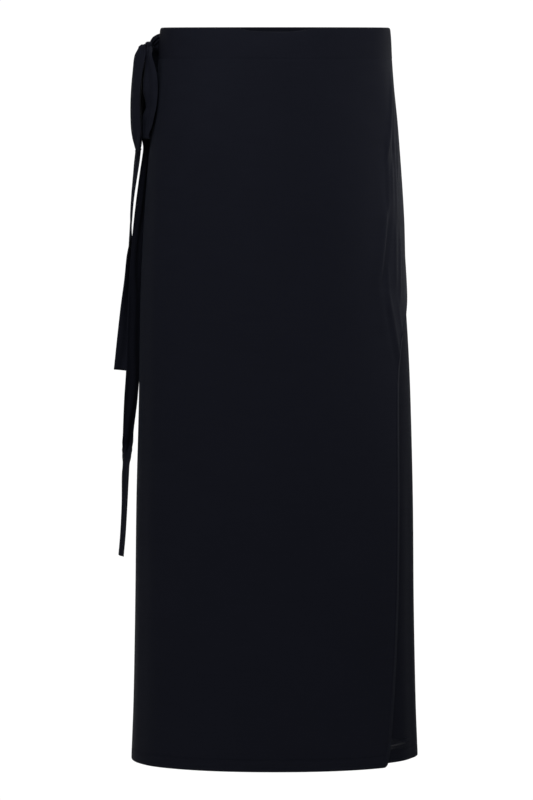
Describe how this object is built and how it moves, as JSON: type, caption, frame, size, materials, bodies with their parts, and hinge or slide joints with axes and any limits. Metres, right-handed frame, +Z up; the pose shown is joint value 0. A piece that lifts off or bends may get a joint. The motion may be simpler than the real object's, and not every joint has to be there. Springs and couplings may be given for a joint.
{
  "type": "wrap skirt",
  "caption": "Long wrap skirt of thin dark jersey, filled out as worn: a folded waistband, an over panel that wraps over an under panel, and a tie knotted in a bow at the side.",
  "frame": {"origin": "centre of the waist, halfway up the waistband at its sides", "axes": "+Z up along the body, -Y out of the front, +X to the right of a viewer who faces the front"},
  "size_m": [0.395, 0.2573, 0.9568],
  "materials": {
    "jersey": "matt fine knit jersey, blue-black, with faint slubs along the courses and a soft sheen",
    "waistband_jersey": "the same jersey folded double, matt",
    "tie_jersey": "the same jersey sewn into a flat tie, pressed, matt with a soft sheen"
  },
  "bodies": {
    "root": {"back_panel": "jersey", "under_panel": "jersey", "over_panel": "jersey", "back_waistband": "waistband_jersey", "under_waistband": "waistband_jersey", "over_waistband": "waistband_jersey", "tie_around_back": "tie_jersey", "tie_through_slit": "tie_jersey", "bow_front_loop": "tie_jersey", "bow_back_loop": "tie_jersey", "bow_short_tail": "tie_jersey", "bow_long_tail": "tie_jersey", "bow_knot": "tie_jersey"}
  },
  "joints": []
}
